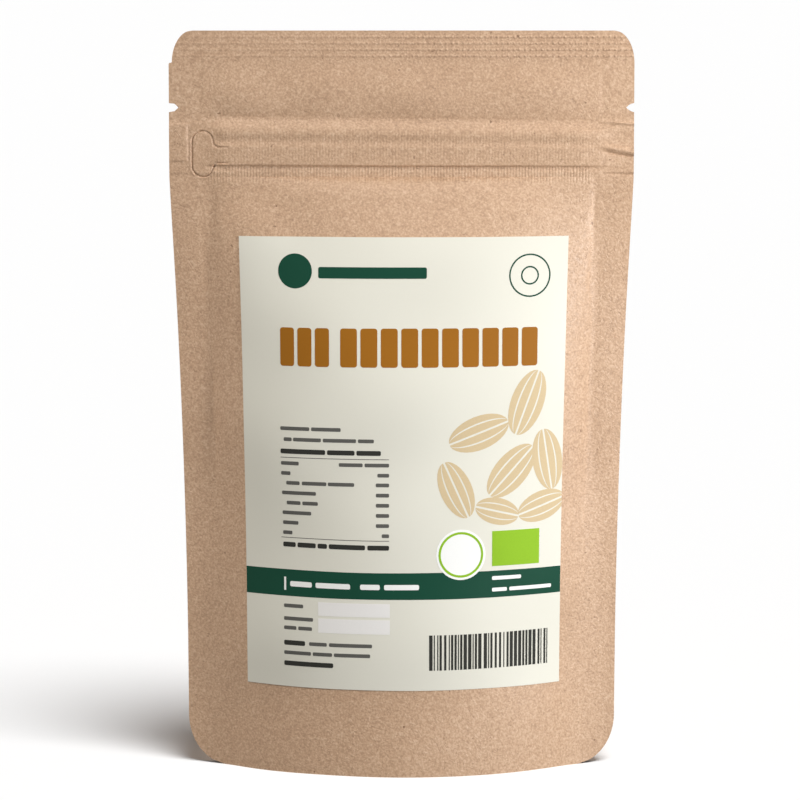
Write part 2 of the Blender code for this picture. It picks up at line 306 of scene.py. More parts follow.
def film_depth(s, z, seed):
    bulge = arc(s, arc_angle(z, BASE_ARC_ANGLE), seam_rounding(z))[1]
    shoulder = (1 - np.exp(-np.maximum(HALF_FILM - np.abs(s), 0) / SHOULDER_REACH)) * SHOULDER_RISE
    bulge = bulge + shoulder * smooth(z, 45 * MM, 90 * MM) * (1 - smooth(z, 132 * MM, 152 * MM))
    soft = WAVE_HEIGHT * ripples(s, z, seed, 10, 70 * MM, 24 * MM) * smooth(bulge, 0, 5 * MM)
    return SEAM_GAP + FILM + seam_room(z) + bulge + soft


def front_depth(s, z):
    """How far the front film's outer face stands off the middle plane."""
    depth = film_depth(s, z, FRONT_SEED) + band_relief(s, z) + header_relief(s, z) + crimp_relief(s, z)
    return depth + tab_relief(s, z) + front_creases(s, z)


def back_depth(s, z):
    """The same for the back film, which takes the front's folds in the right seal and yields to its presses."""
    fused = smooth(s, HALF_FILM, HALF_FILM + FUSED_REACH)
    folds = band_relief(s, z) + front_creases(s, z)
    relief = BACK_BAND_SHARE * band_relief(s, z) * (1 - fused) - folds * fused
    depth = film_depth(s, z, BACK_SEED) + relief + header_relief(-s, z) + crimp_relief(-s, z)
    pressed = 2 * (SEAM_GAP + FILM) - front_depth(s, z)
    return np.maximum(depth, pressed)


def side_x(s, z):
    return arc(s, arc_angle(z, SIDE_ARC_ANGLE))[0]


def outline_half_width(z, right):
    """Half the film's width at a height, on one side, with its rounded corners and tear notch."""
    half = np.full_like(z, HALF_WIDTH)
    low = np.clip(1 - z / BASE_CORNER_HEIGHT, 0, 1)
    half = half - BASE_CORNER_WIDTH * (1 - np.sqrt(1 - low**2))
    high = np.clip((z - HEIGHT + TOP_CORNER_HEIGHT) / TOP_CORNER_HEIGHT, 0, 1)
    half = half - TOP_CORNER_WIDTH * (1 - np.sqrt(1 - high**2))
    off = np.abs(z - NOTCH_HEIGHT) / NOTCH_HALF
    if right:
        return half - NOTCH_RIGHT * np.sqrt(np.clip(1 - off, 0, 1))
    notch = np.where(off < 1, NOTCH_STRAIGHT + (NOTCH_LEFT - NOTCH_STRAIGHT) * (1 - off), 0)
    return half - notch - LEDGE_WIDTH * smooth(z, LEDGE_HEIGHT, LEDGE_HEIGHT + 0.2 * MM)


def fitted(s, z):
    """Grid distances s moved in to the outline at their heights."""
    half = np.where(s > 0, outline_half_width(z, True), outline_half_width(z, False))
    share = (np.abs(s) - OUTLINE_HINGE) / (HALF_WIDTH - OUTLINE_HINGE)
    moved = np.copysign(OUTLINE_HINGE + share * (half - OUTLINE_HINGE), s)
    return np.where(np.abs(s) <= OUTLINE_HINGE, s, moved)


def spaced(stops):
    """Grid lines from (start, step) pairs in mm. Each step holds until the next start."""
    lines = []
    for (start, step), (end, _) in zip(stops, stops[1:]):
        count = max(1, round((end - start) / step))
        lines.extend(start + (end - start) * k / count for k in range(count))
    return np.array(lines + [stops[-1][0]]) * MM


TOP = HEIGHT / MM
FRONT_COLUMNS = spaced([
    (-60, 0.7), (-55.6, 0.18), (-44, 1.0), (-30, 1.4), (30, 1.0), (46, 0.45), (60, 0),
])
BACK_COLUMNS = spaced([(-60, 0.7), (-55.6, 0.18), (-48, 1.2), (46, 0.45), (60, 0)])
PANEL_ROWS = spaced([
    (0, 0.9), (13, 1.6), (128, 1.0), (152.6, 0.2), (169.8, 0.3), (171.2, 0.16),
    (173.8, 0.5), (182.8, 0.22), (TOP, 0),
])


def link(name, mesh, material, nodes=()):
    obj = bpy.data.objects.new(name, mesh)
    bpy.context.scene.collection.objects.link(obj)
    mesh.materials.append(material)
    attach(obj, BODY)
    if nodes:
        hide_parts(*nodes)
    return obj


def grid_shell(name, outer, inner, sharp=50):
    """A closed sheet between two grids of points, each of shape (rows, columns, 3)."""
    rows, cols, _ = outer.shape
    index = np.arange(rows * cols).reshape(rows, cols)
    far = index + rows * cols
    quads = [np.stack([index[:-1, :-1], index[:-1, 1:], index[1:, 1:], index[1:, :-1]], -1).reshape(-1, 4)]
    quads.append(np.stack([far[:-1, :-1], far[1:, :-1], far[1:, 1:], far[:-1, 1:]], -1).reshape(-1, 4))
    rim = np.concatenate([index[0, :-1], index[:-1, -1], index[-1, :0:-1], index[:0:-1, 0]])
    after = np.roll(rim, -1)
    quads.append(np.stack([after, rim, rim + rows * cols, after + rows * cols], -1))
    faces = np.concatenate(quads)
    mesh = bpy.data.meshes.new(name)
    points = np.concatenate([outer.reshape(-1, 3), inner.reshape(-1, 3)])
    mesh.vertices.add(len(points))
    mesh.vertices.foreach_set("co", points.astype(np.float32).ravel())
    mesh.loops.add(faces.size)
    mesh.loops.foreach_set("vertex_index", faces.astype(np.int32).ravel())
    mesh.polygons.add(len(faces))
    mesh.polygons.foreach_set("loop_start", (np.arange(len(faces)) * 4).astype(np.int32))
    mesh.update(calc_edges=True)
    mesh.validate()
    mesh.shade_smooth()
    mesh.set_sharp_from_angle(angle=math.radians(sharp))
    return mesh


def sheet_points(s, z, depth, side):
    return np.stack([side_x(s, z), side * depth + seal_lean(s, z), z], -1)


def panel(name, columns, rows, depth_of, side, material, nodes):
    ordered = columns if side == FRONT else columns[::-1]
    s, z = np.meshgrid(ordered, rows)
    s = fitted(s, z)
    depth = depth_of(s, z)
    outer = sheet_points(s, z, depth, side)
    inner = sheet_points(s, z, depth - FILM, side)
    return link(name, grid_shell(name, outer, inner), material, nodes)


# Bottom gusset, as in the CAD model
FOLD_START = 22 * MM
FOLD_CLEARANCE = 1.2
GUSSET_LEVEL = 8 * MM
FLAT_SHARE = 0.3
RISE_POWER = 1.5
FLOOR_LIFT = 0.3 * MM
LEG_ROWS = 26
FLOOR_ROWS = 30
GUSSET_COLUMNS = spaced([(-60, 0.6), (-48, 1.0), (48, 0.6), (60, 0)])


def gusset_depth(depth, s, z):
    """Depth of the gusset's kraft side where it lies against a panel."""
    return depth(s, z) - FILM - SEAM_GAP - GUSSET_FILM


def gusset_grid():
    """Points of the gusset's kraft side: up the front leg, over the floor, down the back leg."""
    s = GUSSET_COLUMNS
    half = np.maximum(gusset_depth(film_front, s, np.full_like(s, GUSSET_LEVEL)), SEAM_GAP)
    fold = GUSSET_LEG * smooth(np.abs(s), FOLD_START, HALF_FILM)
    fold = np.maximum(np.minimum(fold, GUSSET_LEG - FOLD_CLEARANCE * half), 0)
    leave = (GUSSET_LEG**2 - half**2 - fold**2) / (2 * (GUSSET_LEG - fold))
    rows = []
    for side, depth in ((FRONT, film_front), (BACK, film_back)):
        leg = []
        for share in np.linspace(0, 1, LEG_ROWS):
            z = leave * share
            along = fitted(s, z)
            leg.append(sheet_points(along, z, gusset_depth(depth, along, z), side))
        rows.append(leg)
    front_leg, back_leg = rows
    floor = []
    for share in np.linspace(0, 1, FLOOR_ROWS + 2)[1:-1]:
        line = front_leg[-1] * (1 - share) + back_leg[-1] * share
        out = np.abs(2 * share - 1)
        lift = max((out - FLAT_SHARE) / (1 - FLAT_SHARE), 0) ** RISE_POWER
        line[:, 2] = FLOOR_LIFT + fold + (leave - fold) * lift
        wrinkle = 0.25 * MM * (1 + ripples(line[:, 0], line[:, 1], 31, 8, 30 * MM, 9 * MM))
        line[:, 2] += np.maximum(wrinkle, 0) * smooth(np.abs(s), 6 * MM, 20 * MM) * (1 - out**2)
        floor.append(line)
    return np.array(front_leg + floor + back_leg[::-1])


def film_front(s, z):
    return film_depth(s, z, FRONT_SEED)


def film_back(s, z):
    return film_depth(s, z, BACK_SEED)


def bottom_gusset(material):
    kraft_side = gusset_grid()
    across = np.gradient(kraft_side, axis=1)
    along = np.gradient(kraft_side, axis=0)
    normal = np.cross(across, along)
    normal /= np.linalg.norm(normal, axis=-1, keepdims=True)
    inside = kraft_side + GUSSET_FILM * normal
    for grid in (kraft_side, inside):
        grid[..., 2] = np.maximum(grid[..., 2], 0)
    mesh = grid_shell("gusset_film", inside, kraft_side)
    return link("gusset_film", mesh, material, ("bottom_gusset",))


# Zipper: both tracks' profiles as (depth, height over the rib's middle) in mm. Their ends are pressed flat.
RIB_Z = 162.4 * MM
TRACK_DEPTH = 0.8
TRACK_CRUSHED = 0.12
RIB_TRACK = (
    (1.15, -5.0), (1.15, 3.0), (0.9, 3.0), (0.9, 0.22), (-0.1, 0.22), (-0.1, 0.5), (-0.55, 0.0),
    (-0.1, -0.5), (-0.1, -0.22), (0.9, -0.22), (0.9, -5.0),
)
GROOVE_TRACK = (
    (1.15, -5.0), (1.15, 3.0), (0.9, 3.0), (0.9, 1.2), (-0.45, 1.2), (-0.45, 0.45),
    (-0.2, 0.45), (-0.2, 0.8), (0.9, 0.8), (0.9, -0.8), (-0.2, -0.8), (-0.2, -0.45),
    (-0.45, -0.45), (-0.45, -1.2), (0.9, -1.2), (0.9, -5.0),
)


def zipper_track(name, profile, side, material, node):
    """One track from seal to seal, its ends pressed flat between the panels."""
    places = spaced([(-51.4, 0.8), (-BAND_END / MM, 6), (BAND_END / MM, 0.8), (51.4, 0)])
    depths = np.array([depth for depth, _ in profile]) * MM * TRACK_DEPTH
    heights = RIB_Z + np.array([height for _, height in profile]) * MM
    bm = bmesh.new()
    loops = []
    for s in places:
        press = TRACK_DEPTH - (TRACK_DEPTH - TRACK_CRUSHED) * smooth(abs(s), BAND_END - 1 * MM, HALF_FILM)
        loops.append([bm.verts.new((s, side * d * press / TRACK_DEPTH, z)) for d, z in zip(depths, heights)])
    for near, after in zip(loops, loops[1:]):
        for k in range(len(profile)):
            turn = (k + 1) % len(profile)
            bm.faces.new((near[k], near[turn], after[turn], after[k]))
    bm.faces.new(loops[0])
    bm.faces.new(loops[-1])
    bmesh.ops.recalc_face_normals(bm, faces=bm.faces)
    mesh = bpy.data.meshes.new(name)
    bm.to_mesh(mesh)
    bm.free()
    link(name, mesh, material, (node,))


def build_material(name):
    material = bpy.data.materials.new(name)
    material.use_nodes = True
    return material, material.node_tree.nodes, material.node_tree.links


class Graph:
    """Short ways to add nodes to one material."""

    def __init__(self, name):
        self.material, self.nodes, self.links = build_material(name)
        self.shader = self.nodes["Principled BSDF"]
        self.coords = self.nodes.new("ShaderNodeTexCoord").outputs["Object"]
        split = self.nodes.new("ShaderNodeSeparateXYZ")
        self.links.new(self.coords, split.inputs[0])
        self.x, self.y, self.z = split.outputs

    def noise(self, scale, detail, stretch=None, turn=0.0):
        """A noise texture; stretch draws it out along one direction, turned in the XZ plane."""
        texture = self.nodes.new("ShaderNodeTexNoise")
        texture.inputs["Scale"].default_value = scale
        texture.inputs["Detail"].default_value = detail
        source = self.coords
        if stretch:
            mapping = self.nodes.new("ShaderNodeMapping")
            mapping.vector_type = "TEXTURE"
            mapping.inputs["Rotation"].default_value = (0, turn, 0)
            mapping.inputs["Scale"].default_value = (stretch, 1, 1)
            self.links.new(source, mapping.inputs["Vector"])
            source = mapping.outputs["Vector"]
        self.links.new(source, texture.inputs["Vector"])
        return texture.outputs["Fac"]

    def remap(self, value, low, high, to_low, to_high, kind="LINEAR"):
        node = self.nodes.new("ShaderNodeMapRange")
        node.interpolation_type = kind
        for name, number in (("From Min", low), ("From Max", high), ("To Min", to_low), ("To Max", to_high)):
            node.inputs[name].default_value = number
        self.links.new(value, node.inputs["Value"])
        return node.outputs["Result"]

    def math(self, operation, *values):
        node = self.nodes.new("ShaderNodeMath")
        node.operation = operation
        for socket, value in zip(node.inputs, values):
            if isinstance(value, (int, float)):
                socket.default_value = value
            else:
                self.links.new(value, socket)
        return node.outputs["Value"]

    def total(self, *terms):
        result = terms[0]
        for term in terms[1:]:
            result = self.math("ADD", result, term)
        return result

    def within(self, value, low, high, soft):
        rise = self.remap(value, low - soft, low + soft, 0, 1, "SMOOTHSTEP")
        fall = self.remap(value, high - soft, high + soft, 1, 0, "SMOOTHSTEP")
        return self.math("MULTIPLY", rise, fall)

    def ramp(self, value, stops):
        node = self.nodes.new("ShaderNodeValToRGB")
        elements = node.color_ramp.elements
        elements[0].position, elements[0].color = stops[0][0], (*stops[0][1], 1)
        elements[1].position, elements[1].color = stops[-1][0], (*stops[-1][1], 1)
        for position, color in stops[1:-1]:
            elements.new(position).color = (*color, 1)
        self.links.new(value, node.inputs["Fac"])
        return node.outputs["Color"]

    def finish(self, color, roughness, height, relief, specular=0.5):
        """Connects colour, roughness and a bump whose height is in relief metres per unit."""
        self.links.new(color, self.shader.inputs["Base Color"])
        self.links.new(roughness, self.shader.inputs["Roughness"])
        self.shader.inputs["Specular IOR Level"].default_value = specular
        bump = self.nodes.new("ShaderNodeBump")
        bump.inputs["Strength"].default_value = 1.0
        bump.inputs["Distance"].default_value = relief
        self.links.new(height, bump.inputs["Height"])
        self.links.new(bump.outputs["Normal"], self.shader.inputs["Normal"])
        return self.material


KRAFT_DARK = (0.22, 0.125, 0.068)
KRAFT_MID = (0.495, 0.320, 0.202)
KRAFT_LIGHT = (0.77, 0.57, 0.41)
FIBRE_TURNS = (0.35, 1.05, 1.9, 2.7)
KNURL_PITCH = 0.78 * MM
DOT_PITCH = 1.45 * MM
KERNEL_TONES = ((0.3, (0.11, 0.045, 0.018)), (0.5, (0.27, 0.12, 0.045)), (0.7, (0.42, 0.21, 0.09)))


def kraft_material(name):
    """Uncoated kraft paper: mottled pulp, fibres, a few specks, and the pressed patterns of the seals."""
    graph = Graph(name)
    cloudy = graph.noise(38, 3)
    pulp = graph.noise(620, 2)
    grain = graph.noise(1750, 2)
    light, dark = [], []
    for k, turn in enumerate(FIBRE_TURNS):
        strand = graph.noise(2300 + 150 * k, 1, stretch=6, turn=turn)
        light.append(graph.remap(strand, 0.66, 0.76, 0, 1))
        dark.append(graph.remap(strand, 0.34, 0.25, 0, 1))
    light = graph.total(*light)
    dark = graph.total(*dark)
    specks = graph.remap(graph.noise(760, 0), 0.872, 0.885, 0, 1)
    tone = graph.total(
        graph.remap(grain, 0.3, 0.7, 0.34, 0.66),
        graph.remap(pulp, 0.3, 0.7, -0.045, 0.045),
        graph.remap(cloudy, 0.3, 0.7, -0.04, 0.04),
        graph.math("MULTIPLY", light, 0.07),
        graph.math("MULTIPLY", dark, -0.09),
        graph.math("MULTIPLY", specks, -0.45),
    )
    color = graph.ramp(tone, ((0.0, KRAFT_DARK), (0.5, KRAFT_MID), (1.0, KRAFT_LIGHT)))
    knurl = graph.math("SINE", graph.math("MULTIPLY", graph.x, 2 * math.pi / KNURL_PITCH))
    low_knurl = graph.within(graph.z, 152.6 * MM, 156.6 * MM, 0.5 * MM)
    high_knurl = graph.math("MULTIPLY", graph.within(graph.z, 157.6 * MM, 166.5 * MM, 1.5 * MM), 0.45)
    side = graph.within(graph.x, -50 * MM, 49 * MM, 1 * MM)
    knurl = graph.math("MULTIPLY", graph.math("MULTIPLY", knurl, side), graph.total(low_knurl, high_knurl))
    row = graph.math("SUBTRACT", graph.z, HEIGHT - CRIMP_FIRST)
    row = graph.math("MULTIPLY", row, 2 * math.pi / CRIMP_PITCH)
    row = graph.math("MAXIMUM", graph.math("COSINE", row), 0.0)
    dots = graph.math("COSINE", graph.math("MULTIPLY", graph.x, 2 * math.pi / DOT_PITCH))
    dots = graph.math("MULTIPLY", graph.math("MAXIMUM", dots, 0.0), row)
    sealed = graph.within(graph.z, HEIGHT - CRIMP_END, HEIGHT - CRIMP_START, 0.3 * MM)
    dots = graph.math("MULTIPLY", dots, sealed)
    dots = graph.math("MULTIPLY", dots, graph.remap(graph.x, -40 * MM, 25 * MM, 0.25, 1))
    height = graph.total(
        graph.math("MULTIPLY", grain, 0.1),
        graph.math("MULTIPLY", pulp, 0.07),
        graph.math("MULTIPLY", light, 0.03),
        graph.math("MULTIPLY", dark, -0.03),
        graph.math("MULTIPLY", knurl, 0.034),
        graph.math("MULTIPLY", dots, 0.13),
    )
    roughness = graph.remap(pulp, 0.3, 0.7, 0.46, 0.58)
    return graph.finish(color, roughness, height, MM, specular=0.5)


def tinted_material(name, color, spread, roughness, grain_scale, relief, specular=0.5):
    """Paper, ink or plastic: one colour with a fine grain and faint clouds."""
    graph = Graph(name)
    grain = graph.noise(grain_scale, 2)
    cloudy = graph.noise(70, 2)
    tone = graph.total(graph.remap(grain, 0.3, 0.7, 0.3, 0.7), graph.remap(cloudy, 0.3, 0.7, -0.2, 0.2))
    low = tuple(channel * (1 - spread) for channel in color)
    high = tuple(min(channel * (1 + spread), 1.0) for channel in color)
    shade = graph.ramp(tone, ((0.0, low), (1.0, high)))
    rough = graph.remap(grain, 0.3, 0.7, roughness - 0.04, roughness + 0.04)
    return graph.finish(shade, rough, grain, relief, specular)


def kernel_material(name):
    """Pecan skin: brown with darker streaks along the nut."""
    graph = Graph(name)
    streaks = graph.noise(500, 3, stretch=9, turn=math.pi / 2)
    mottle = graph.noise(260, 3)
    tone = graph.math("ADD", graph.math("MULTIPLY", streaks, 0.65), graph.math("MULTIPLY", mottle, 0.35))
    color = graph.ramp(tone, KERNEL_TONES)
    return graph.finish(color, graph.remap(mottle, 0.3, 0.7, 0.4, 0.55), streaks, 0.1 * MM)


kraft = kraft_material("kraft_laminate")
paper = tinted_material("label_paper", (0.67, 0.655, 0.575), 0.012, 0.6, 1800, 0.003 * MM, specular=0.25)

panel("pouch_front", FRONT_COLUMNS, PANEL_ROWS, front_depth, FRONT, kraft, ("front_panel", "tear_strip"))
panel("pouch_back", BACK_COLUMNS, PANEL_ROWS, back_depth, BACK, kraft, ("back_panel",))
bottom_gusset(kraft)
plastic = tinted_material("zipper_plastic", (0.78, 0.78, 0.76), 0.02, 0.3, 900, 0.004 * MM)
zipper_track("zipper_front", RIB_TRACK, FRONT, plastic, "zipper_front_track")
zipper_track("zipper_back", GROOVE_TRACK, BACK, plastic, "zipper_back_track")

# Label: u runs right from its left edge, v down from its top edge
LABEL_LIFT = 0.05 * MM
LABEL_PAPER = 0.13 * MM
LABEL_LEFT, LABEL_RIGHT = -42.4 * MM, 43.6 * MM
LABEL_LOW, LABEL_HIGH = LABEL_BOX[0].z, LABEL_BOX[1].z
LABEL_COLUMNS, LABEL_ROWS = 87, 110
PRINT_STEP = 1.6 * MM
PRINT_SINK = 0.03 * MM
INK = 0.03 * MM


def label_depth(s, z):
    """How far the label's face stands off the middle plane."""
    return front_depth(s, z) + LABEL_LIFT + LABEL_PAPER


def label_sheet():
    columns = np.linspace(LABEL_LEFT, LABEL_RIGHT, LABEL_COLUMNS)
    s, z = np.meshgrid(columns, np.linspace(LABEL_LOW, LABEL_HIGH, LABEL_ROWS))
    face = label_depth(s, z)
    outer = sheet_points(s, z, face, FRONT)
    inner = sheet_points(s, z, face - LABEL_PAPER, FRONT)
    mesh = grid_shell("front_label_sheet", outer, inner)
    link("front_label_sheet", mesh, paper, ("front_label",))


def on_label(u, v):
    return LABEL_LEFT + u * MM, LABEL_HIGH - v * MM


def rounded_bar(u0, v0, u1, v1, radius=0.0):
    """A rectangle with rounded corners, in label millimetres."""
    if not radius:
        return [(u0, v1), (u1, v1), (u1, v0), (u0, v0)]
    left, right = u0 + radius, u1 - radius
    top, low = v0 + radius, v1 - radius
    points = []
    for turn, (u, v) in enumerate(((right, top), (left, top), (left, low), (right, low))):
        for k in range(5):
            angle = math.pi / 2 * (turn + k / 4)
            points.append((u + radius * math.cos(angle), v - radius * math.sin(angle)))
    return points


def disc(u, v, radius, steps=48):
    turns = [2 * math.pi * k / steps for k in range(steps)]
    return [(u + radius * math.cos(a), v - radius * math.sin(a)) for a in turns]


def ring(u, v, outer, inner, steps=48):
    """A ring as quads that share their edges."""
    out, low = disc(u, v, outer, steps), disc(u, v, inner, steps)
    return [[low[k], out[k], out[(k + 1) % steps], low[(k + 1) % steps]] for k in range(steps)]


def nut(u, v, length, width, turn):
    """A plain pecan kernel: two lobes on each side of its middle groove."""
    shapes = []
    angles = [math.pi * (NUT_TIP + (1 - 2 * NUT_TIP) * k / 14) for k in range(15)]
    for side in (-1, 1):
        for low, high in NUT_LOBES:
            far, near = [], []
            for a in angles:
                half = width / 2 * math.sin(a) ** 1.1
                far.append((math.cos(a) * length / 2, side * (NUT_GROOVE + high * half)))
                near.append((math.cos(a) * length / 2, side * (NUT_GROOVE + low * half)))
            outline = far + near[::-1] if side > 0 else near + far[::-1]
            shapes.append([
                (u + x * math.cos(turn) + y * math.sin(turn), v - x * math.sin(turn) + y * math.cos(turn))
                for x, y in outline
            ])
    return shapes


def print_piece(name, shapes, ink, thickness=INK):
    """Printed shapes as thin closed solids that follow the label's face."""
    bm = bmesh.new()
    for shape in shapes:
        bm.faces.new([bm.verts.new((s, 0, z)) for s, z in (on_label(u, v) for u, v in shape)])
    bmesh.ops.remove_doubles(bm, verts=bm.verts, dist=1e-6)
    bmesh.ops.recalc_face_normals(bm, faces=bm.faces)
    cuts = [((1, 0, 0), np.arange(LABEL_LEFT + PRINT_STEP, LABEL_RIGHT, PRINT_STEP))]
    cuts.append(((0, 0, 1), np.arange(LABEL_LOW + PRINT_STEP, LABEL_HIGH, PRINT_STEP)))
    for across, places in cuts:
        for place in places:
            parts = bm.verts[:] + bm.edges[:] + bm.faces[:]
            bmesh.ops.bisect_plane(bm, geom=parts, plane_co=[c * place for c in across], plane_no=across)
    parts = bm.verts[:] + bm.edges[:] + bm.faces[:]
    edge = (LABEL_RIGHT - 0.01 * MM, 0, 0)
    bmesh.ops.bisect_plane(bm, geom=parts, plane_co=edge, plane_no=(1, 0, 0), clear_outer=True)
    bmesh.ops.triangulate(bm, faces=bm.faces)
    grown = bmesh.ops.extrude_face_region(bm, geom=bm.faces[:])
    top = {item for item in grown["geom"] if isinstance(item, bmesh.types.BMVert)}
    flat = np.array([(vert.co.x, vert.co.z) for vert in bm.verts])
    raised = np.array([vert in top for vert in bm.verts])
    depth = label_depth(flat[:, 0], flat[:, 1]) + np.where(raised, thickness, -PRINT_SINK)
    for vert, place in zip(bm.verts, sheet_points(flat[:, 0], flat[:, 1], depth, FRONT)):
        vert.co = place
    bmesh.ops.recalc_face_normals(bm, faces=bm.faces)
    mesh = bpy.data.meshes.new(name)
    bm.to_mesh(mesh)
    bm.free()
    link(name, mesh, ink)


# Plain word bars that stand for the lines of small text: height on the label, then (start, end) of each word
SMALL_TEXT = (
    (49.0, (10.5, 18.4), (18.9, 26.7)),
    (51.8, (11.4, 13.6), (14.0, 21.5), (22.0, 30.7), (31.2, 35.3)),
    (58.0, (10.6, 15.5), (26.2, 32.4), (32.9, 39.2)),
    (60.6, (10.6, 13.2), (36.2, 39.2)),
    (63.1, (12.0, 15.7), (16.3, 22.9), (23.3, 30.2), (35.8, 39.2)),
    (65.7, (10.8, 20.1), (35.8, 39.2)),
    (68.3, (12.1, 15.9), (16.4, 20.6), (35.8, 39.2)),
    (70.9, (10.9, 18.8), (35.8, 39.2)),
    (73.5, (11.0, 15.3), (35.8, 39.2)),
    (76.1, (11.0, 13.6), (37.3, 39.2)),
    (95.1, (11.1, 16.5)),
    (98.4, (11.1, 19.2)),
    (100.8, (11.1, 14.6), (15.1, 18.9)),
    (104.7, (18.1, 22.9), (23.5, 34.8)),
    (107.3, (11.1, 18.6), (19.1, 24.3), (24.8, 34.3)),
)
BOLD_TEXT = (
    (54.9, (10.5, 22.6), (23.1, 30.3), (30.8, 37.1)),
    (79.2, (11.0, 14.5), (15.0, 20.0), (20.5, 23.0), (23.5, 33.0), (33.6, 39.2)),
    (104.7, (11.1, 17.0)),
    (110.1, (11.1, 24.6)),
)
BAND_TEXT = ((89.4, (12.9, 18.9), (19.9, 29.1), (31.7, 36.8), (37.9, 46.9)),)
BAND_NOTE = ((87.6, (66.1, 74.2)), (90.6, (66.1, 70.2), (70.9, 83.1)))
# The title's bars: (start, end, number of bars) of each word, and their top, low edge and gap
TITLE_WORDS = ((10.7, 23.7, 3), (26.6, 78.1, 10))
TITLE_TOP, TITLE_LOW, TITLE_GAP = 23.1, 33.0, 0.9
STRIPE = 0.3
STRIPES_LEFT, STRIPES_STOP, STRIPES_RIGHT = 49.5, 82.2, 83.0
STRIPES_TOP, STRIPES_LOW = 101.8, 111.0
# Nut shapes: half the middle groove, the blunt tips' share, the lobes' shares of the half width
NUT_GROOVE = 0.25
NUT_TIP = 0.03
NUT_LOBES = ((0.0, 0.46), (0.56, 1.0))
# Each nut: u, v, length, width and turn
NUTS = (
    (75.5, 42.5, 17.5, 8.6, 1.2),
    (62.5, 50.0, 16.5, 8.2, 0.35),
    (81.5, 57.5, 16, 8.2, 1.75),
    (71.3, 60.0, 17, 8.4, 0.8),
    (56.5, 64.5, 15.5, 7.8, 2.0),
    (80.0, 69.5, 14, 7.2, 0.3),
    (67.5, 70.3, 12, 6.4, 2.9),
)


def word_bars(lines, height):
    return [
        rounded_bar(start, v - height / 2, end, v + height / 2, height * 0.3)
        for v, *words in lines
        for start, end in words
    ]


def title_bars():
    bars = []
    for start, end, count in TITLE_WORDS:
        pitch = (end - start + TITLE_GAP) / count
        for k in range(count):
            left = start + k * pitch
            right = start + (k + 1) * pitch - TITLE_GAP
            bars.append(rounded_bar(left, TITLE_TOP, right, TITLE_LOW, 0.7))
    return bars


def stripes():
    """A block of stripes of random width, which encodes nothing."""
    rng = np.random.default_rng(8)
    bars, u = [], STRIPES_LEFT
    while u < STRIPES_STOP:
        width = STRIPE * rng.integers(1, 4)
        bars.append(rounded_bar(u, STRIPES_TOP, min(u + width, STRIPES_RIGHT), STRIPES_LOW))
        u += width + STRIPE * rng.integers(1, 3)
    return bars


def ink(name, color, spread=0.06):
    return tinted_material(name, color, spread, 0.6, 2500, 0.001 * MM, specular=0.12)


def label_print():
    green = ink("ink_green", (0.0055, 0.052, 0.030))
    grey = ink("ink_grey", (0.10, 0.098, 0.09))
    black = ink("ink_black", (0.028, 0.028, 0.024))
    white = ink("ink_white", (0.82, 0.82, 0.80), 0.02)
    leaf = ink("ink_light_green", (0.24, 0.44, 0.02))
    print_piece("print_emblem", [disc(14.8, 8.7, 4.45), rounded_bar(20.9, 7.6, 48.9, 10.5, 0.5)], green)
    print_piece("print_stamp", ring(75.8, 9.9, 5.55, 5.15) + ring(75.8, 9.9, 2.4, 2.0), green)
    print_piece("print_band", [rounded_bar(0.02, 85.7, 85.98, 92.6)], green)
    print_piece("print_title", title_bars(), ink("ink_brown", (0.30, 0.115, 0.009)))
    lobes = [lobe for place in NUTS for lobe in nut(*place)]
    print_piece("print_artwork", lobes, ink("ink_beige", (0.56, 0.44, 0.27)))
    rules = [rounded_bar(10.5, v - 0.08, 39.2, v + 0.08) for v in (56.5, 77.4)]
    print_piece("print_small_text", word_bars(SMALL_TEXT, 0.95) + rules, grey)
    print_piece("print_bold_text", word_bars(BOLD_TEXT, 1.25), black)
    light = word_bars(BAND_TEXT, 1.35) + word_bars(BAND_NOTE, 0.95) + [rounded_bar(11.2, 87.7, 11.75, 91.1)]
    print_piece("print_band_text", light, white, 2 * INK)
    boxes = [rounded_bar(20.6, 93.7, 39.4, 97.2), rounded_bar(20.6, 97.9, 39.4, 101.6)]
    print_piece("print_write_in_boxes", boxes, ink("ink_box", (0.75, 0.735, 0.715), 0.02))
    print_piece("print_stripes", stripes(), black)
    print_piece("print_badge", [disc(57.8, 81.2, 6.5)], white, 2 * INK)
    print_piece("print_badge_ring", ring(57.8, 81.2, 5.9, 5.3), leaf, 3 * INK)
    print_piece("print_green_block", [rounded_bar(66.1, 75.4, 79.4, 84.5)], leaf, 2 * INK)


label_sheet()
label_print()


def finish_cad_nodes():
    """Finishes of the pieces that stay as the CAD model has them."""
    skin = kernel_material("pecan_kernel")
    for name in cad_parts:
        if name.startswith("pecan_half_"):
            for slot in bpy.data.objects[name].material_slots:
                slot.material = skin


finish_cad_nodes()

FLOOR_SIZE = 30.0
FLOOR_COLOR = 0.9
SUN_STRENGTH = 3.4
SUN_ELEVATION = 62
SUN_AZIMUTH = 31
SUN_ANGLE = 30
FILL = 0.13
HORIZON = 1.03
HORIZON_LOW, HORIZON_FULL, HORIZON_FADE, HORIZON_HIGH = -0.06, -0.04, 0.1, 0.18
NEUTRAL = (1.0, 1.0, 1.0)
FILL_COLOR = (1.0, 0.99, 0.975)
# Soft lamps for the pouch: (name, place, disk size, power, colour)
LAMPS = (
    ("key", (0.36, -0.24, 0.16), 0.12, 2.0, NEUTRAL),
    ("side_fill", (-1.1, -0.15, 0.9), 0.5, 10.5, (1.0, 0.94, 0.86)),
    ("top_fill", (0.05, -0.8, 1.3), 0.8, 8.6, NEUTRAL),
    ("back_fill_left", (-0.5, 1.1, 0.7), 0.8, 13.0, NEUTRAL),
    ("back_fill_right", (0.9, 0.9, 0.5), 0.6, 7.0, NEUTRAL),
)


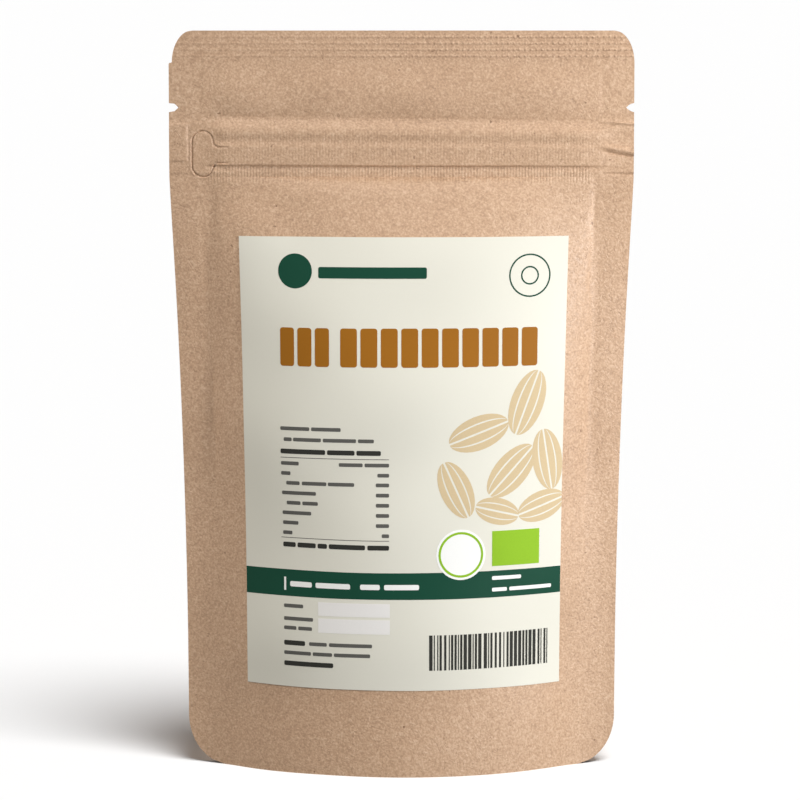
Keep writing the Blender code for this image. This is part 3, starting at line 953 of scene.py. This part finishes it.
def stage():
    """A plain pale floor that runs on behind, lit white by its own sun."""
    half = FLOOR_SIZE
    mesh = bpy.data.meshes.new("floor")
    corners = [(-half, -half, 0), (half, -half, 0), (half, half, 0), (-half, half, 0)]
    mesh.from_pydata(corners, [], [(0, 1, 2, 3)])
    floor = bpy.data.objects.new("floor", mesh)
    bpy.context.scene.collection.objects.link(floor)
    material, nodes, _ = build_material("floor")
    nodes["Principled BSDF"].inputs["Base Color"].default_value = (FLOOR_COLOR, FLOOR_COLOR, FLOOR_COLOR, 1)
    nodes["Principled BSDF"].inputs["Roughness"].default_value = 0.9
    nodes["Principled BSDF"].inputs["Specular IOR Level"].default_value = 0.0
    mesh.materials.append(material)
    floor.visible_diffuse = False
    data = bpy.data.lights.new("floor_sun", "SUN")
    data.energy = SUN_STRENGTH
    data.angle = math.radians(SUN_ANGLE)
    sun = bpy.data.objects.new("floor_sun", data)
    sun.rotation_euler = (math.radians(90 - SUN_ELEVATION), 0, math.radians(SUN_AZIMUTH))
    bpy.context.scene.collection.objects.link(sun)
    only_floor = bpy.data.collections.new("floor_only")
    only_floor.objects.link(floor)
    sun.light_linking.receiver_collection = only_floor
    return floor


def surround(floor):
    """An even fill with a white horizon, and soft lamps for all but the floor, the nearest at the right."""
    world = bpy.data.worlds.new("studio")
    bpy.context.scene.world = world
    world.use_nodes = True
    nodes, links = world.node_tree.nodes, world.node_tree.links
    way = nodes.new("ShaderNodeSeparateXYZ")
    links.new(nodes.new("ShaderNodeTexCoord").outputs["Generated"], way.inputs[0])
    bounds = ((HORIZON_LOW, HORIZON_FULL, 0, HORIZON - FILL), (HORIZON_FADE, HORIZON_HIGH, 1, 0))
    steps = []
    for low, high, start, end in bounds:
        step = nodes.new("ShaderNodeMapRange")
        step.interpolation_type = "SMOOTHSTEP"
        for name, number in (("From Min", low), ("From Max", high), ("To Min", start), ("To Max", end)):
            step.inputs[name].default_value = number
        links.new(way.outputs["Z"], step.inputs["Value"])
        steps.append(step.outputs["Result"])
    level = nodes.new("ShaderNodeMath")
    level.operation = "MULTIPLY_ADD"
    for socket, step in zip(level.inputs, steps):
        links.new(step, socket)
    level.inputs[2].default_value = FILL
    links.new(level.outputs["Value"], nodes["Background"].inputs["Strength"])
    nodes["Background"].inputs["Color"].default_value = (*FILL_COLOR, 1)
    not_floor = bpy.data.collections.new("all_but_floor")
    not_floor.objects.link(floor)
    not_floor.collection_objects[0].light_linking.link_state = "EXCLUDE"
    aim = bpy.data.objects.new("lamp_aim", None)
    aim.location = (0, 0, HEIGHT / 2)
    bpy.context.scene.collection.objects.link(aim)
    for name, place, size, power, color in LAMPS:
        data = bpy.data.lights.new(name, "AREA")
        data.shape = "DISK"
        data.size = size
        data.energy = power
        data.color = color
        lamp = bpy.data.objects.new(name, data)
        lamp.location = place
        lamp.light_linking.receiver_collection = not_floor
        bpy.context.scene.collection.objects.link(lamp)
        track = lamp.constraints.new("TRACK_TO")
        track.target = aim
        track.track_axis = "TRACK_NEGATIVE_Z"
        track.up_axis = "UP_Y"
    bpy.context.scene.view_settings.view_transform = "Standard"


CAMERA_X = -0.4 * MM
CAMERA_DISTANCE = 0.9835
CAMERA_HEIGHT = 0.2092
CAMERA_PITCH = 0.1147
CAMERA_LENS = 171.2


def add_camera():
    data = bpy.data.cameras.new("camera")
    data.lens = CAMERA_LENS
    data.sensor_width = 36
    data.clip_end = 100
    camera = bpy.data.objects.new("camera", data)
    camera.location = (CAMERA_X, -CAMERA_DISTANCE, CAMERA_HEIGHT)
    camera.rotation_euler = (math.pi / 2 - CAMERA_PITCH, 0, 0)
    bpy.context.scene.collection.objects.link(camera)
    bpy.context.scene.camera = camera


surround(stage())
add_camera()
